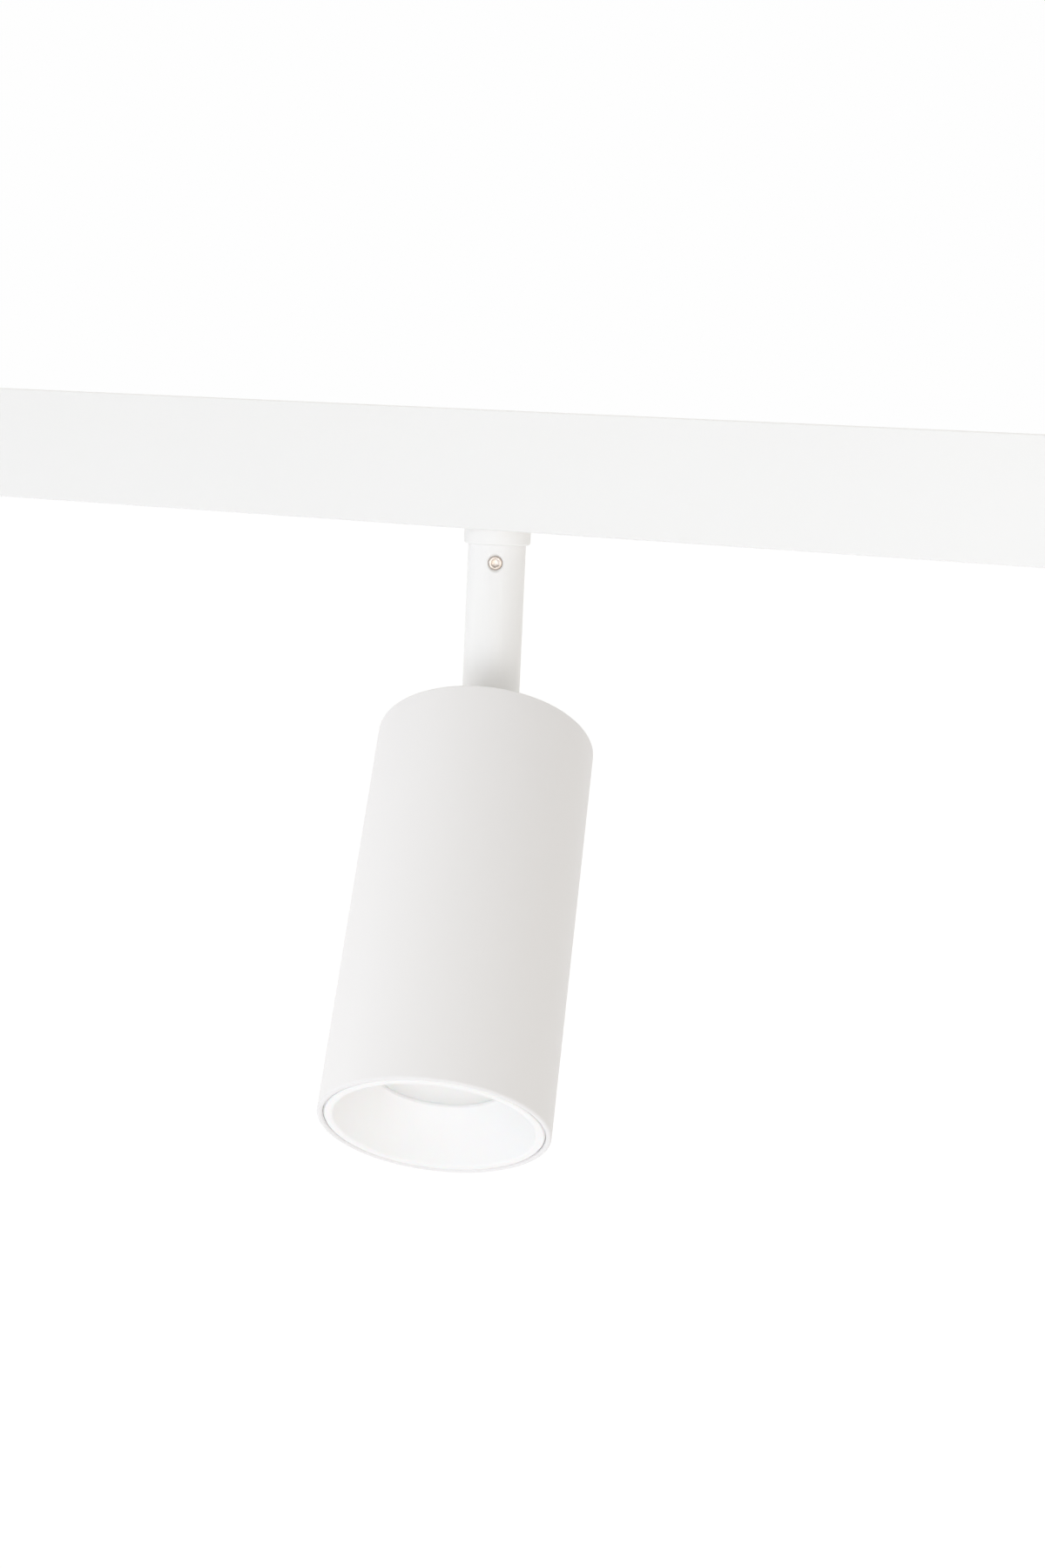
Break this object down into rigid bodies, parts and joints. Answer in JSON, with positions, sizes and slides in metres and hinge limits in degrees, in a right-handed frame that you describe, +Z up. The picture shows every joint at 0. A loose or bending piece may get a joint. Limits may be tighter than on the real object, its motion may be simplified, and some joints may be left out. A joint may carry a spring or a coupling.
{
  "type": "track lighting fixture",
  "caption": "Cylindrical spotlight on a turning stem and tilt knuckle, in a surface track with an in-track adapter, live feed and end cap.",
  "frame": {"origin": "centre of the track's ceiling face, over the stem's axis", "axes": "+Z up to the ceiling, +X along the track towards the blank end cap, -Y the side the lamp leans to at rest"},
  "size_m": [0.5385, 0.1166, 0.1994],
  "materials": {
    "white_aluminium": "white powder-coated aluminium",
    "white_plastic": "white moulded polycarbonate",
    "insulator": "extruded white PVC",
    "copper": "bright drawn copper",
    "brass": "stamped brass",
    "raw_aluminium": "mill-finish aluminium",
    "steel": "nickel-plated steel",
    "zinc_plated": "zinc-plated steel",
    "nylon": "natural nylon",
    "rubber": "grey moulded rubber",
    "circuit_board": "green glass-epoxy laminate",
    "components": "black moulded epoxy and sleeves",
    "led_board": "white ceramic-faced board",
    "phosphor": "yellow silicone phosphor",
    "reflector": "vacuum-metallised satin",
    "diffuser": "frosted glass",
    "silicone": "translucent white silicone",
    "thermal_pad": "grey gap-filler sheet"
  },
  "bodies": {
    "track": {"track_profile": "white_aluminium", "insulator_rear": "insulator", "insulator_front": "insulator", "copper_conductors": "copper", "earth_strip": "copper", "feed_housing": "white_plastic", "feed_cover": "white_plastic", "feed_contacts": "brass", "feed_terminal_block": "insulator", "feed_terminal_screws": "zinc_plated", "cable_grommet": "rubber", "end_cap": "white_plastic"},
    "adapter": {"adapter_housing": "white_plastic", "adapter_cover": "white_plastic", "adapter_cover_screws": "zinc_plated", "driver_board": "circuit_board", "driver_components": "components", "earth_spring": "brass", "pan_washer_upper": "nylon", "pan_washer_lower": "nylon"},
    "lock_left": {"lock_lever_left": "white_plastic", "lock_wing_left": "zinc_plated"},
    "lock_right": {"lock_lever_right": "white_plastic", "lock_wing_right": "zinc_plated"},
    "contact_rotor": {"contact_drum": "white_plastic", "contact_blades": "brass"},
    "stem": {"pan_nipple": "zinc_plated", "pan_stop_washer": "zinc_plated", "pan_nut": "zinc_plated", "collar": "white_aluminium", "stem_tube": "white_aluminium", "set_screw": "steel", "stem_knuckle": "white_aluminium"},
    "head": {"tilt_bolt": "steel", "tilt_nut": "steel", "tilt_washers": "nylon", "head_bracket": "white_aluminium", "bracket_screws": "steel", "head_tube": "white_aluminium", "rear_cap": "white_aluminium", "cap_screws": "steel", "lead_grommet": "rubber", "heat_sink": "raw_aluminium", "thermal_pad": "thermal_pad", "led_board": "led_board", "led_emitter": "phosphor", "led_holder": "white_plastic", "holder_screws": "zinc_plated", "inner_reflector": "reflector", "lens": "diffuser", "lens_gasket": "silicone", "baffle": "white_plastic"}
  },
  "joints": [
    {"name": "adapter_slide", "type": "slide", "parent": "track", "child": "adapter", "axis": [1, 0, 0], "range_m": [-0.1575, 0.1075]},
    {"name": "lock_left_turn", "type": "hinge", "parent": "adapter", "child": "lock_left", "pos_m": [-0.03, 0, -0.0317], "axis": [0, 0, 1], "range_deg": [0, 90]},
    {"name": "lock_right_turn", "type": "hinge", "parent": "adapter", "child": "lock_right", "pos_m": [0.114, 0, -0.0317], "axis": [0, 0, 1], "range_deg": [0, 90]},
    {"name": "contact_turn", "type": "hinge", "parent": "adapter", "child": "contact_rotor", "pos_m": [0.03, 0, -0.0317], "axis": [0, 0, 1], "range_deg": [0, 90]},
    {"name": "pan", "type": "hinge", "parent": "adapter", "child": "stem", "pos_m": [0, 0, -0.0323], "axis": [0, 0, 1], "range_deg": [-168, 168]},
    {"name": "tilt", "type": "hinge", "parent": "stem", "child": "head", "pos_m": [0, 0, -0.0851], "axis": [-0.9421, -0.3355, 0], "range_deg": [-39.7, 50.3]}
  ]
}
